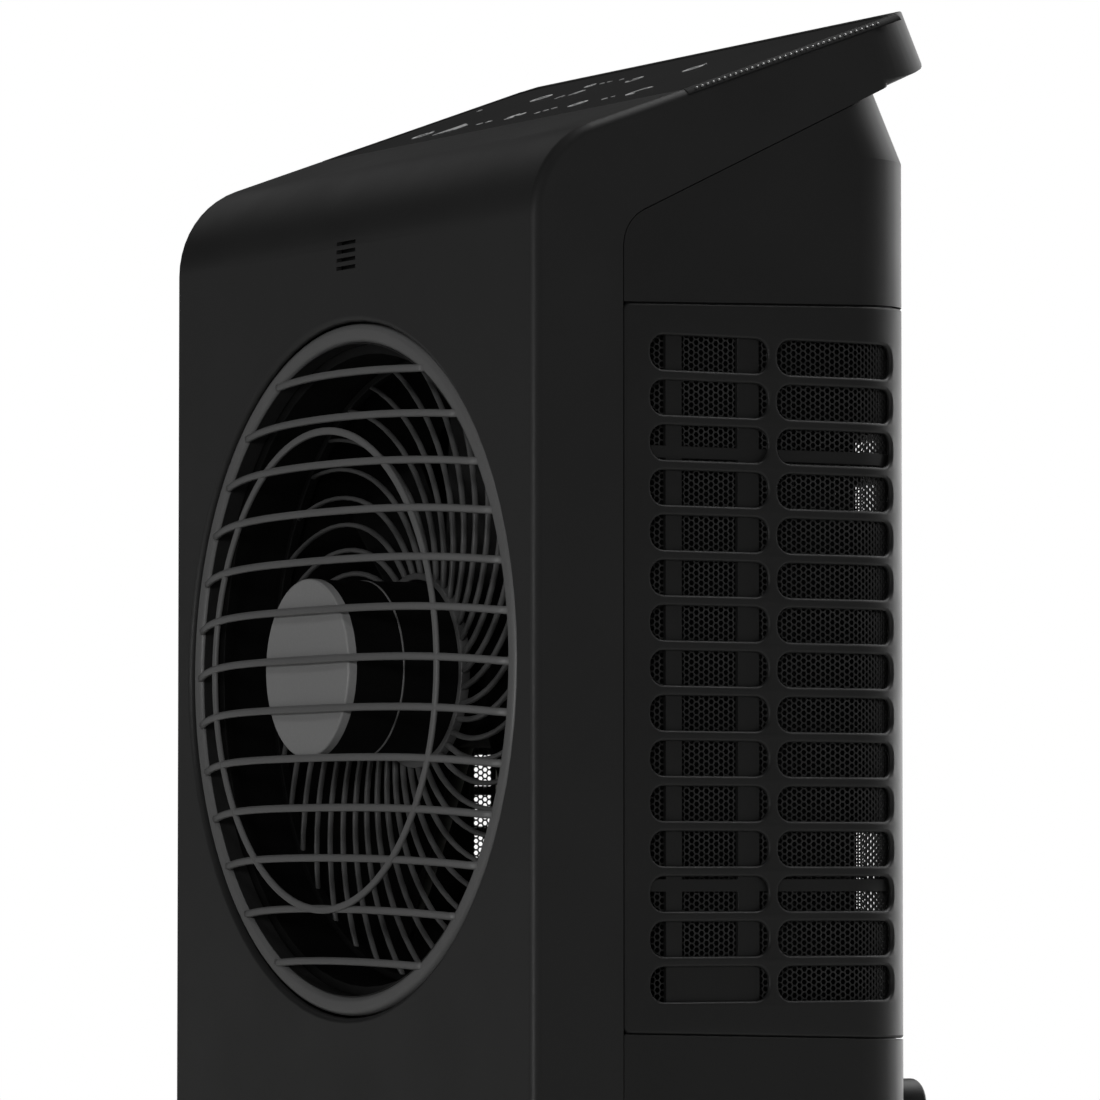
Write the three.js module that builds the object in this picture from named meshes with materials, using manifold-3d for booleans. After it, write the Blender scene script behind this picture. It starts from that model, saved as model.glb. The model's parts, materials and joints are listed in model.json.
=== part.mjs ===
// A floor-standing room air purifier: a tall shallow casing with a round air outlet in the front,
// slotted intakes round the sides and back, and a sloping control panel that ends in a carrying lip.
// Millimetres. X runs across the front, Z is up, and depth runs back along +Y from the front face.
import * as THREE from 'three';
import { mergeVertices } from 'three/addons/utils/BufferGeometryUtils.js';
import Module from 'manifold-3d';

const wasm = await Module();
wasm.setup();

// ---- driving dimensions ----
const width = 380;
const rearDepth = 224.4;
const rearCornerRadius = 43.5;
const wall = 3;
const gap = 0.4;

const slopeAngle = THREE.MathUtils.degToRad(20);
const slopeHeightAtFront = 543.4;
const bendRadius = 49;
const edgeRadius = 5;
const roofThickness = 8;

const lipTopDepth = 216;
const lipNoseDepth = 228.5;
const lipNoseHeight = 595.3;
const lipRootDepth = 199;
const lipRootHeight = 582;
const lipCornerRadius = 22;
const lipCornerLength = 40;

const seamDepth = 48.7;
const seamSlope = 0.483;
const seamSlopeHeight = 509.4;
const seamGap = 0.5;

const footHeight = 7;
const baseThickness = 6;
const shellBottom = 10;

const coverFrontDepth = seamDepth + seamGap;
const coverTopFront = 470;
const coverTopRear = 475.1;
const coverBottomFront = 124.2;
const coverBottomRear = 119.5;

const slotRows = 15;
const slotPitch = 21.44;
const slotTopRow = 447.2;
const slotHeight = 16.5;
const slotCorner = 6;
const coverCorner = 3.4;
const slotStart = 63.9;
const slotEnd = 129.5;
const slotPost = 5;
const wrapEnd = THREE.MathUtils.degToRad(31);
const rearSlotLength = 59;
const rearWrapEnd = 100;

const outletHeight = 300.3;
const openingRadius = 171.9;
const openingEdge = 3;
const grilleOuterRadius = 170.9;
const grilleInnerRadius = 161.5;
const grilleRingFront = 1;
const grilleRingBack = 11;
const barPitch = 24.15;
const barsEachSide = 6;
const barThickness = 3.8;
const barWidth = 3;
const barRise = 4.63;
const barRisePower = 3.95;
const domeRise = 24.8;
const domeFall = 26;
const domePower = 2.424;
const middleRingRadius = 118;
const middleRingDepth = -12.65;
const middleRingWidth = 3.8;
const middleRingThickness = 2.2;

const hubRadius = 44.3;
const hubFront = -21.6;
const motorSeam = 9.6;
const vaneFront = 39;
const vaneDepth = 5;
const vaneCount = 37;
const vaneInner = 45;
const vaneOuter = 152;
const vaneStart = THREE.MathUtils.degToRad(7);
const vaneSweep = THREE.MathUtils.degToRad(53.5);
const vaneThickness = 3.2;
const vaneSection = 2.8;

const ductRadius = 156.5;
const ductFront = 13;
const ductBack = 104;
const bulkheadDepth = 48;
const bulkheadThickness = 2.5;

const fanFront = 58;
const fanBack = 98;
const fanHubRadius = 38;
const fanTipRadius = 149;
const fanBladeCount = 7;
const fanPitch = THREE.MathUtils.degToRad(32);
const shaftRadius = 4;

const filterFront = 160;
const filterBack = 206;
const filterHalfWidth = 136;
const filterBottom = 136;
const filterTop = 462;

const hookRadius = 12;
const hookX = 140;
const hookHeight = 87;
const hookEnd = 243.6;

// ---- small helpers ----
function roofHeight(depth) {
  return slopeHeightAtFront + Math.tan(slopeAngle) * depth;
}

function seamHeight(depth) {
  return seamSlopeHeight + seamSlope * (depth - seamDepth);
}

function solid(geometry) {
  const bare = geometry.index ? geometry.toNonIndexed() : geometry.clone();
  bare.deleteAttribute('normal');
  bare.deleteAttribute('uv');
  const merged = mergeVertices(bare, 1e-4);
  const corners = Uint32Array.from(merged.index.array);
  const places = Float32Array.from(merged.attributes.position.array);
  let made = new wasm.Manifold(new wasm.Mesh({ numProp: 3, vertProperties: places, triVerts: corners }));
  if (made.volume() < 0) {
    const turned = corners.map((corner, i) => corners[i - (i % 3) + (2 - (i % 3))]);
    made = new wasm.Manifold(new wasm.Mesh({ numProp: 3, vertProperties: places, triVerts: turned }));
  }
  return made;
}

function geometryOf(piece) {
  const mesh = piece.getMesh();
  const geometry = new THREE.BufferGeometry();
  const places = new Float32Array(mesh.numVert * 3);
  for (let i = 0; i < mesh.numVert; i += 1) {
    for (let axis = 0; axis < 3; axis += 1) {
      places[i * 3 + axis] = mesh.vertProperties[i * mesh.numProp + axis];
    }
  }
  geometry.setAttribute('position', new THREE.BufferAttribute(places, 3));
  geometry.setIndex(new THREE.BufferAttribute(Uint32Array.from(mesh.triVerts), 1));
  geometry.computeVertexNormals();
  return geometry;
}

function join(pieces) {
  return pieces.reduce((whole, piece) => whole.add(piece));
}

// a closed outline through corners [x, y, radius, steps], each corner rounded by a tangent arc
function outline(corners) {
  const points = [];
  corners.forEach(([x, y, radius = 0, steps = 4], i) => {
    const corner = new THREE.Vector2(x, y);
    if (!radius) {
      points.push(corner);
      return;
    }
    const before = corners.at(i - 1);
    const after = corners[(i + 1) % corners.length];
    const back = new THREE.Vector2(before[0], before[1]).sub(corner).normalize();
    const on = new THREE.Vector2(after[0], after[1]).sub(corner).normalize();
    const half = Math.acos(back.dot(on)) / 2;
    const reach = radius / Math.tan(half);
    const centre = back.clone().add(on).normalize().multiplyScalar(radius / Math.sin(half)).add(corner);
    const first = corner.clone().addScaledVector(back, reach).sub(centre).angle();
    const last = corner.clone().addScaledVector(on, reach).sub(centre).angle();
    const turn = THREE.MathUtils.euclideanModulo(last - first + Math.PI, 2 * Math.PI) - Math.PI;
    for (let step = 0; step <= steps; step += 1) {
      const angle = first + (turn * step) / steps;
      points.push(new THREE.Vector2(Math.cos(angle), Math.sin(angle)).multiplyScalar(radius).add(centre));
    }
  });
  return new THREE.Shape(points);
}

function rectangle(x0, y0, x1, y1, radius = 0, steps = 3) {
  return outline([[x0, y0, radius, steps], [x1, y0, radius, steps], [x1, y1, radius, steps], [x0, y1, radius, steps]]);
}

// a (depth, height) outline swept across X
function across(shape, x0, x1, bevel = 0) {
  const geometry = new THREE.ExtrudeGeometry(shape, {
    depth: x1 - x0 - 2 * bevel,
    bevelEnabled: bevel > 0,
    bevelThickness: bevel,
    bevelSize: bevel,
    bevelOffset: -bevel,
    bevelSegments: 5,
  });
  const turn = new THREE.Matrix4().makeBasis(
    new THREE.Vector3(0, 1, 0),
    new THREE.Vector3(0, 0, 1),
    new THREE.Vector3(1, 0, 0),
  );
  geometry.applyMatrix4(turn);
  geometry.translate(x0 + bevel, 0, 0);
  return solid(geometry);
}

// an (X, height) outline swept back from depth y0 to y1
function back(shape, y0, y1) {
  const geometry = new THREE.ExtrudeGeometry(shape, { depth: y1 - y0, bevelEnabled: false });
  geometry.rotateX(Math.PI / 2);
  geometry.translate(0, y1, 0);
  return solid(geometry);
}

// an (X, depth) plan outline swept up from z0 to z1, leaning back by lean for each unit of height
function up(shape, z0, z1, lean = 0, leanFrom = z0) {
  const geometry = new THREE.ExtrudeGeometry(shape, { depth: z1 - z0, bevelEnabled: false });
  geometry.translate(0, 0, z0);
  geometry.applyMatrix4(new THREE.Matrix4().makeShear(0, 0, 0, 0, 0, lean));
  geometry.translate(0, -lean * leanFrom, 0);
  return solid(geometry);
}

// a closed (radius, depth) profile turned about the outlet's axis, or about another one along Y
function turned(profile, steps, x = 0, z = outletHeight) {
  const points = profile.map(([radius, depth]) => new THREE.Vector2(radius, depth));
  const closed = profile[0][0] > 0 || profile.at(-1)[0] > 0;
  if (closed) {
    points.push(points[0].clone());
  }
  const geometry = new THREE.LatheGeometry(points, steps);
  geometry.translate(x, 0, z);
  return solid(geometry);
}

function block(x0, y0, z0, x1, y1, z1) {
  const geometry = new THREE.BoxGeometry(x1 - x0, y1 - y0, z1 - z0);
  geometry.translate((x0 + x1) / 2, (y0 + y1) / 2, (z0 + z1) / 2);
  return solid(geometry);
}

// ---- envelopes shared by the shells ----
const wallLean = -0.481;
const wallLeanHeight = 546;

function rearPlan(inset, radius) {
  const steps = 8;
  const side = width / 2 - inset;
  const rear = rearDepth - inset;
  return outline([[-side, -40], [side, -40], [side, rear, radius, steps], [-side, rear, radius, steps]]);
}

// everything inside the rear walls, set in by the inset: upright, then leaning in below the lip
function rearEnvelope(inset) {
  const radius = Math.max(rearCornerRadius - inset, 1);
  const upright = up(rearPlan(inset, radius), -20, wallLeanHeight);
  const leaning = up(rearPlan(inset, radius), wallLeanHeight - 0.01, 640, wallLean, wallLeanHeight);
  return upright.add(leaning);
}

function sideRegion(corners) {
  return across(outline(corners), -width / 2 - 10, width / 2 + 10);
}

// ---- casing ----
function frontShell() {
  const silhouette = outline([
    [0, -20],
    [0, slopeHeightAtFront, bendRadius, 10],
    [lipTopDepth, roofHeight(lipTopDepth), 6.5, 3],
    [lipNoseDepth, lipNoseHeight, 7, 4],
    [lipRootDepth, lipRootHeight],
    [lipRootDepth, -20],
  ]);
  const mass = across(silhouette, -width / 2, width / 2, edgeRadius);
  const lipLean = (lipTopDepth - lipNoseDepth) / (roofHeight(lipTopDepth) - lipNoseHeight);
  const lipCorner = Array.from({ length: 13 }, (unused, step) => {
    const turn = (Math.PI / 2) * (step / 12);
    return [width / 2 - lipCornerRadius * (1 - Math.cos(turn)), lipNoseDepth - lipCornerLength * (1 - Math.sin(turn))];
  });
  const lipPlan = outline([
    [-width / 2, -500],
    [width / 2, -500],
    ...lipCorner,
    ...lipCorner.map(([x, depth]) => [-x, depth]).reverse(),
  ]);
  const lipEnvelope = up(lipPlan, -20, 640, lipLean, lipNoseHeight);
  const band = sideRegion([
    [-5, shellBottom],
    [-5, 650],
    [250, 650],
    [250, lipRootHeight],
    [lipRootDepth, lipRootHeight],
    [seamDepth, seamSlopeHeight, 20, 5],
    [seamDepth, shellBottom],
  ]);
  const roofInside = (depth) => roofHeight(depth) - roofThickness / Math.cos(slopeAngle);
  const inside = across(
    outline([
      [wall, -30],
      [wall, roofInside(wall), bendRadius - roofThickness, 8],
      [lipRootDepth - wall, roofInside(lipRootDepth - wall)],
      [lipRootDepth - wall, -30],
    ]),
    -width / 2 + wall,
    width / 2 - wall,
  );
  const edge = openingRadius + openingEdge;
  const opening = turned(
    [
      [0, -5],
      [edge + 1, -5],
      ...Array.from({ length: 5 }, (unused, step) => {
        const turn = (Math.PI / 2) * (step / 4);
        return [edge - openingEdge * Math.sin(turn), openingEdge * (1 - Math.cos(turn))];
      }),
      [openingRadius, wall + 5],
      [0, wall + 5],
    ],
    72,
  );
  const vents = [-1.5, -0.5, 0.5, 1.5].map((row) => {
    const middle = ventHeight + row * ventPitch;
    return block(-ventHalf, -5, middle - ventSlot / 2, ventHalf, 12, middle + ventSlot / 2);
  });
  const recess = onRoof(up(panelPlan(0), -panelDepth, 20));
  return mass.intersect(lipEnvelope).intersect(band).subtract(inside).subtract(opening)
    .subtract(join(vents)).subtract(recess);
}

// ---- control panel, drawn flat and laid on the roof ----
const panelFront = 82;
const panelRear = 208.5;
const panelHalf = 186.4;
const panelDepth = 3.6;
const trimWidth = 3.4;
const ventHeight = 505.5;
const ventPitch = 4.1;
const ventHalf = 10;
const ventSlot = 1.9;

function alongRoof(depth) {
  return depth / Math.cos(slopeAngle);
}

function panelPlan(inset) {
  const half = panelHalf - inset;
  const front = alongRoof(panelFront) + inset;
  const rear = alongRoof(panelRear) - inset;
  const corner = lipCornerRadius - 4 - inset;
  return outline([[-half, front, 2, 2], [half, front, 2, 2], [half, rear, corner, 5], [-half, rear, corner, 5]]);
}

function onRoof(piece) {
  return piece.rotate([THREE.MathUtils.radToDeg(slopeAngle), 0, 0]).translate([0, 0, slopeHeightAtFront]);
}

function panelTrim() {
  const ring = up(panelPlan(gap), -panelDepth + gap, -0.1);
  return onRoof(ring.subtract(up(panelPlan(gap + trimWidth), -20, 20)));
}

function controlGlass() {
  return onRoof(up(panelPlan(2 * gap + trimWidth), -panelDepth + gap, -0.3));
}

function roofBoard(halfWidth, from, to, top, thickness) {
  return onRoof(up(rectangle(-halfWidth, from, halfWidth, to), -top - thickness, -top));
}

// ---- rear housings and the base ----
function rearShell(corners) {
  return rearEnvelope(0).subtract(rearEnvelope(wall)).intersect(sideRegion(corners));
}

const housingFront = seamDepth + seamGap;
const skirtInset = wall + 0.5;

// a strip inside the wall that backs a seam, joined to the wall by its root
function skirt(low, high, rootLow, rootHigh) {
  const from = housingFront + 3;
  const strip = rearEnvelope(skirtInset).subtract(rearEnvelope(skirtInset + 2))
    .intersect(block(-width / 2, from, low, width / 2, 250, high));
  const root = rearEnvelope(wall - 0.5).subtract(rearEnvelope(skirtInset + 2))
    .intersect(block(-width / 2, from, rootLow, width / 2, 250, rootHigh));
  return strip.add(root);
}

function upperRearHousing() {
  const under = (depth) => seamHeight(depth) - seamGap * 1.1;
  const top = lipRootDepth - 0.5;
  const region = [
    [housingFront, coverTopFront + seamGap],
    [housingFront, under(housingFront), 19, 5],
    [top, under(top)],
    [250, under(top)],
    [250, coverTopRear + seamGap + (250 - rearDepth) * 0.03],
  ];
  const shell = rearShell(region);
  const floor = rearEnvelope(wall - 0.5).intersect(block(-width / 2, housingFront + 3, 480, width / 2, 250, 483));
  const pocket = rearEnvelope(1).intersect(block(-74, 184, 519, 74, 250, 569));
  const hollow = back(rectangle(-67, 526, 67, 562, 12, 4), 190, 260);
  return shell.add(floor).add(pocket).subtract(hollow).add(skirt(466, 482, 479, 482));
}

function lowerRearHousing() {
  const region = [
    [housingFront, shellBottom],
    [housingFront, coverBottomFront - seamGap],
    [250, coverBottomRear - seamGap - (250 - rearDepth) * 0.03],
    [250, shellBottom],
  ];
  const shell = rearShell(region);
  const inletHole = back(rectangle(-19, 38, 19, 66, 3, 2), 200, 250);
  const seats = [-1, 1].map((side) => (
    turned([[0, 150], [hookRadius + gap, 150], [hookRadius + gap, 260], [0, 260]], 32, side * hookX, hookHeight)
  ));
  return shell.add(skirt(112, 128, 112, 115)).subtract(inletHole).subtract(seats[0]).subtract(seats[1]);
}

function cordHook(side) {
  const start = rearDepth - 12;
  return turned(
    [[0, start], [hookRadius, start], [hookRadius, hookEnd - 3], [hookRadius - 0.9, hookEnd - 0.9],
      [hookRadius - 3, hookEnd], [0, hookEnd]],
    32,
    side * hookX,
    hookHeight,
  );
}

function basePlate() {
  const inset = 4;
  const side = width / 2 - inset;
  const radius = rearCornerRadius - inset;
  const plan = outline([
    [-side, inset, 4, 2],
    [side, inset, 4, 2],
    [side, rearDepth - inset, radius, 6],
    [-side, rearDepth - inset, radius, 6],
  ]);
  return up(plan, footHeight - 3, shellBottom - gap);
}

function baseFoot(x, depth) {
  const geometry = new THREE.CylinderGeometry(15, 14, footHeight - 3 - gap / 2, 32);
  geometry.rotateX(Math.PI / 2);
  geometry.translate(x, depth, (footHeight - 3 - gap / 2) / 2);
  return solid(geometry);
}

// ---- intake cover ----
const coverRegion = [
  [coverFrontDepth, coverBottomFront, coverCorner, 3],
  [coverFrontDepth, coverTopFront, coverCorner, 3],
  [250, coverTopRear + (250 - rearDepth) * 0.03],
  [250, coverBottomRear - (250 - rearDepth) * 0.03],
];

function slotShape(from, to, middle) {
  const half = slotHeight / 2;
  return rectangle(from, middle - half, to, middle + half, slotCorner, 1);
}

// the plan of a slot that runs along a wall and on round the corner as far as an angle
function wrapPlan(start, end) {
  const centre = [width / 2 - rearCornerRadius, rearDepth - rearCornerRadius];
  const steps = 3;
  const ring = (radius) => Array.from({ length: steps + 1 }, (unused, step) => {
    const angle = (end * step) / steps;
    return new THREE.Vector2(centre[0] + radius * Math.cos(angle), centre[1] + radius * Math.sin(angle));
  });
  const outer = ring(rearCornerRadius + 6);
  const inner = ring(rearCornerRadius - wall - 5).reverse();
  return new THREE.Shape([new THREE.Vector2(outer[0].x, start), ...outer, ...inner, new THREE.Vector2(inner.at(-1).x, start)]);
}

function intakeCover() {
  const shell = rearShell(coverRegion);
  const corner = rearDepth - rearCornerRadius;
  const sideWrap = wrapPlan(slotEnd + slotPost, wrapEnd);
  const swapped = wrapPlan(corner - (width / 2 - rearCornerRadius - rearWrapEnd), wrapEnd);
  const shift = width / 2 - rearCornerRadius - corner;
  const rearWrap = new THREE.Shape(swapped.getPoints().map((p) => new THREE.Vector2(p.y + shift, p.x - shift)));
  const tools = [];
  for (let row = 0; row < slotRows; row += 1) {
    const middle = slotTopRow - row * slotPitch;
    tools.push(across(slotShape(slotStart, slotEnd, middle), -width, width));
    for (let column = -1; column <= 1; column += 1) {
      const from = column * (rearSlotLength + slotPost) - rearSlotLength / 2;
      tools.push(back(slotShape(from, from + rearSlotLength, middle), corner, 260));
    }
    for (const plan of [sideWrap, rearWrap]) {
      const mirrored = new THREE.Shape(plan.getPoints().map((p) => new THREE.Vector2(-p.x, p.y)));
      tools.push(up(plan, middle - slotHeight / 2, middle + slotHeight / 2));
      tools.push(up(mirrored, middle - slotHeight / 2, middle + slotHeight / 2));
    }
  }
  return tools.reduce((cover, tool) => cover.subtract(tool), shell);
}

const netInset = 7;
const netRegion = [
  [coverFrontDepth + 4, coverBottomFront + 5],
  [coverFrontDepth + 4, coverTopFront - 5],
  [250, coverTopFront - 5],
  [250, coverBottomFront + 5],
];

function prefilterFrame() {
  const lattice = rearEnvelope(wall + 0.5).subtract(rearEnvelope(netInset - 1)).intersect(sideRegion(netRegion));
  const posts = [[74, 83], [114, 126]];
  const ribs = [[397, 403], [191, 197]];
  const bottom = coverBottomFront + 11;
  const top = coverTopFront - 11;
  const columns = [[coverFrontDepth + 10, posts[0][0]], [posts[0][1], posts[1][0]], [posts[1][1], 190]];
  const rows = [[bottom, ribs[1][0]], [ribs[1][1], ribs[0][0]], [ribs[0][1], top]];
  const windows = [];
  for (const [low, high] of rows) {
    for (const [from, to] of columns) {
      const start = low === bottom && from === posts[0][1] ? bottom + 21 : low;
      windows.push(block(-width, from, start, width, to, high));
    }
    for (const [from, to] of [[-250, -rearWrapEnd], [-rearWrapEnd + 6, -3], [3, rearWrapEnd - 6], [rearWrapEnd, 250]]) {
      windows.push(block(from, 185, low, to, 260, high));
    }
  }
  return windows.reduce((frame, window) => frame.subtract(window), lattice);
}

function prefilterNet() {
  return rearEnvelope(netInset - 0.6).subtract(rearEnvelope(netInset + 0.4)).intersect(sideRegion(netRegion));
}

// ---- outlet ----
function domeDepth(radius) {
  return -domeRise + domeFall * (radius / grilleInnerRadius) ** domePower;
}

function grilleBar(index) {
  const offset = index * barPitch;
  const reach = Math.sqrt((grilleInnerRadius + 4) ** 2 - offset ** 2);
  const steps = 12;
  const line = (shift) => Array.from({ length: steps + 1 }, (unused, step) => {
    const x = -reach + (2 * reach * step) / steps;
    return new THREE.Vector2(x, domeDepth(Math.hypot(x, offset)) + shift);
  });
  const shape = new THREE.Shape([...line(-barWidth / 2), ...line(barWidth / 2).reverse()]);
  const geometry = new THREE.ExtrudeGeometry(shape, { depth: barThickness, bevelEnabled: false });
  geometry.translate(0, 0, outletHeight - 0.5 + offset - barThickness / 2);
  const place = geometry.getAttribute('position');
  for (let corner = 0; corner < place.count; corner += 1) {
    const share = Math.min(1, Math.hypot(place.getX(corner), offset) / grilleInnerRadius);
    place.setZ(corner, place.getZ(corner) + barRise * (1 - share ** barRisePower));
  }
  return solid(geometry);
}

function outletGrille() {
  const outer = grilleOuterRadius;
  const inner = grilleInnerRadius;
  const ring = turned(
    [
      [inner, grilleRingFront + 4],
      [inner + 2, grilleRingFront + 0.8],
      [inner + 4.7, grilleRingFront],
      [outer - 1.8, grilleRingFront + 0.8],
      [outer, grilleRingFront + 3.5],
      [outer, grilleRingBack],
      [inner, grilleRingBack],
    ],
    72,
  );
  const half = middleRingWidth / 2;
  const deep = middleRingThickness / 2;
  const middle = turned(
    [
      [middleRingRadius - half, middleRingDepth - deep],
      [middleRingRadius + half, middleRingDepth - deep],
      [middleRingRadius + half, middleRingDepth + deep],
      [middleRingRadius - half, middleRingDepth + deep],
    ],
    72,
  ).translate([0, 0, -0.7]);
  const bars = [];
  for (let index = -barsEachSide; index <= barsEachSide; index += 1) {
    bars.push(grilleBar(index));
  }
  return join([ring, middle, ...bars]);
}

function sensorVent() {
  return back(rectangle(-ventHalf - 2, ventHeight - 9.5, ventHalf + 2, ventHeight + 9.5, 1.6, 2), wall + 1.2, wall + 3.4);
}

// ---- motor, fan and guide vanes ----
function hubDisc() {
  return turned([[0, hubFront], [hubRadius - 1.4, hubFront], [hubRadius, hubFront + 1.2],
    [hubRadius, hubFront + 5], [0, hubFront + 5]], 48);
}

function motorCoverFront() {
  const start = hubFront + 5 + gap;
  const radius = hubRadius - 0.4;
  return turned([[0, start], [radius, start], [radius, motorSeam - 0.3], [radius - 3, motorSeam - 0.3],
    [radius - 3, start + 3], [0, start + 3]], 48);
}

function motorCoverRear() {
  const radius = hubRadius - 0.4;
  const end = vaneFront + vaneDepth;
  return turned([[10, end - 3], [radius - 3, end - 3], [radius - 3, motorSeam + 0.3], [radius, motorSeam + 0.3],
    [radius, end], [10, end]], 48);
}

function motorCan() {
  return turned([[0, -6], [33, -6], [35, -4], [35, 37], [10, 37], [10, 40], [0, 40]], 32);
}

function bearingRing(from, to, bore, outer) {
  return turned([[bore, from], [outer, from], [outer, to], [bore, to]], 32);
}

function guideVane(angle) {
  const steps = 5;
  const side = (shift) => Array.from({ length: steps + 1 }, (unused, step) => {
    const share = step / steps;
    const radius = vaneInner + 1 + (vaneOuter + 1 - vaneInner) * share;
    const turn = angle + vaneStart + vaneSweep * share + (shift * vaneThickness) / radius;
    return new THREE.Vector2(radius * Math.cos(turn), radius * Math.sin(turn));
  });
  return new THREE.Shape([...side(0.5), ...side(-0.5).reverse()]);
}

function guideVanes() {
  const hub = [[vaneInner, vaneFront], [vaneInner + 3, vaneFront], [vaneInner + 3, vaneFront + vaneDepth], [vaneInner, vaneFront + vaneDepth]];
  const rim = hub.map(([radius, depth]) => [radius + vaneOuter - vaneInner, depth]);
  const pieces = [turned(hub, 44), turned(rim, 44)];
  for (let index = 0; index < vaneCount; index += 1) {
    const vane = back(guideVane((2 * Math.PI * index) / vaneCount), vaneFront + 0.2, vaneFront + 0.2 + vaneSection);
    pieces.push(vane.translate([0, 0, outletHeight]));
  }
  return join(pieces);
}

function fanBlade(angle) {
  const chord = 46;
  const bow = 5;
  const steps = 4;
  const side = (shift) => Array.from({ length: steps + 1 }, (unused, step) => {
    const share = step / steps - 0.5;
    return new THREE.Vector2(chord * share, bow * (1 - 4 * share * share) + shift);
  });
  const section = new THREE.Shape([...side(0), ...side(2.2).reverse()]);
  const geometry = new THREE.ExtrudeGeometry(section, { depth: fanTipRadius, bevelEnabled: false });
  geometry.rotateZ(fanPitch);
  geometry.translate(0, (fanFront + fanBack) / 2 - 2, fanHubRadius - 8);
  geometry.rotateY(angle);
  return solid(geometry);
}

function impeller() {
  const hub = turned([[shaftRadius + 0.3, fanFront], [fanHubRadius - 4, fanFront], [fanHubRadius, fanFront + 4],
    [fanHubRadius, fanBack], [shaftRadius + 0.3, fanBack]], 40, 0, 0);
  const tips = turned([[fanHubRadius - 6, fanFront], [fanTipRadius, fanFront], [fanTipRadius, fanBack],
    [fanHubRadius - 6, fanBack]], 56, 0, 0);
  const blades = Array.from({ length: fanBladeCount }, (unused, index) => (
    fanBlade((2 * Math.PI * index) / fanBladeCount)
  ));
  return hub.add(join(blades).intersect(tips)).translate([0, 0, outletHeight]);
}

function motorShaft() {
  return turned([[0, 40.4], [shaftRadius, 40.4], [shaftRadius, fanBack + 14], [0, fanBack + 14]], 24);
}

function impellerNut() {
  return bearingRing(fanBack + gap, fanBack + 7, shaftRadius + 0.3, 9);
}

function fanShroud() {
  const plate = back(rectangle(-width / 2 + 5, 20, width / 2 - 5, 478), bulkheadDepth, bulkheadDepth + bulkheadThickness);
  const duct = turned([[ductRadius, ductFront], [ductRadius + 2.5, ductFront], [ductRadius + 2.5, ductBack], [ductRadius, ductBack]], 60);
  const bore = turned([[0, 0], [ductRadius + 1, 0], [ductRadius + 1, 150], [0, 150]], 60);
  const flange = turned(
    [[ductRadius, ductFront - 1.4], [182, ductFront - 1.4], [182, ductFront + 1], [ductRadius, ductFront + 1]],
    60,
  );
  const walls = [-1, 1].map((side) => {
    const cheek = block(Math.min(side * 160, side * 162), bulkheadDepth + 1, 128, Math.max(side * 160, side * 162), 160.4, 466);
    const near = side * 139;
    const far = side * 161;
    const baffle = block(Math.min(near, far), 157.6, 128, Math.max(near, far), 159.6, 466);
    const window = block(Math.min(side * 136, side * 158), 150, 203, Math.max(side * 136, side * 158), 170, 276);
    return cheek.add(baffle.subtract(window));
  });
  return plate.subtract(bore).add(duct).add(flange).add(walls[0]).add(walls[1]);
}

// ---- filter ----
const filterWall = 4;

function filterFrame() {
  const outer = back(rectangle(-filterHalfWidth, filterBottom, filterHalfWidth, filterTop, 3, 2), filterFront, filterBack);
  const inner = back(
    rectangle(-filterHalfWidth + filterWall, filterBottom + filterWall, filterHalfWidth - filterWall, filterTop - filterWall),
    filterFront - 5,
    filterBack + 5,
  );
  return outer.subtract(inner);
}

function filterSlab(from, to) {
  const inset = filterWall + gap;
  return back(
    rectangle(-filterHalfWidth + inset, filterBottom + inset, filterHalfWidth - inset, filterTop - inset),
    from,
    to,
  );
}

function filterTab() {
  return block(-18, filterBack + gap, 292, 18, filterBack + 7, 308);
}

function filterGuide(side) {
  const x = side * (filterHalfWidth + 4.5);
  const plate = block(x - 1.5, 161, filterBottom, x + 1.5, 216, filterTop + 2);
  const near = x + side * 0.5;
  const far = x + side * 10.5;
  const flange = block(Math.min(near, far), 213.6, filterBottom, Math.max(near, far), 215.8, filterTop + 2);
  const windows = [[180, 222], [374, 415]];
  return windows.reduce((guide, [low, high]) => guide.subtract(block(x - 16, 208.5, low, x + 16, 230, high)), plate.add(flange));
}

function filterShelf() {
  return block(-filterHalfWidth - 8, 160, filterBottom - 3.4, filterHalfWidth + 8, 214, filterBottom - gap);
}

// ---- finishes ----
const finishes = {
  shell_plastic: { color: 0x272727, roughness: 0.42, metalness: 0 },
  housing_plastic: { color: 0x202020, roughness: 0.5, metalness: 0 },
  grille_plastic: { color: 0x2c2c2c, roughness: 0.35, metalness: 0 },
  hub_paint: { color: 0x5a5a5a, roughness: 0.4, metalness: 0.3 },
  inner_plastic: { color: 0x151515, roughness: 0.55, metalness: 0 },
  vane_plastic: { color: 0x4a4a4a, roughness: 0.45, metalness: 0 },
  net_nylon: { color: 0x1a1a1a, roughness: 0.7, metalness: 0 },
  panel_glass: { color: 0x0a0a0a, roughness: 0.08, metalness: 0 },
  trim_plastic: { color: 0x8c8c8c, roughness: 0.25, metalness: 0.6 },
  board: { color: 0x1f4a2c, roughness: 0.5, metalness: 0 },
  display_resin: { color: 0xd8d8d8, roughness: 0.4, metalness: 0 },
  steel: { color: 0xb0b0b0, roughness: 0.3, metalness: 1 },
  filter_card: { color: 0xd9d9d2, roughness: 0.8, metalness: 0 },
  filter_paper: { color: 0xf0efe8, roughness: 0.9, metalness: 0 },
  carbon: { color: 0x1b1b1b, roughness: 0.95, metalness: 0 },
  rubber: { color: 0x141414, roughness: 0.85, metalness: 0 },
  brass: { color: 0xb59a4c, roughness: 0.35, metalness: 1 },
};
const materials = Object.fromEntries(
  Object.entries(finishes).map(([name, finish]) => [name, new THREE.MeshStandardMaterial({ name, ...finish })]),
);

// ---- assembly ----
const purifier = new THREE.Group();

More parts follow.
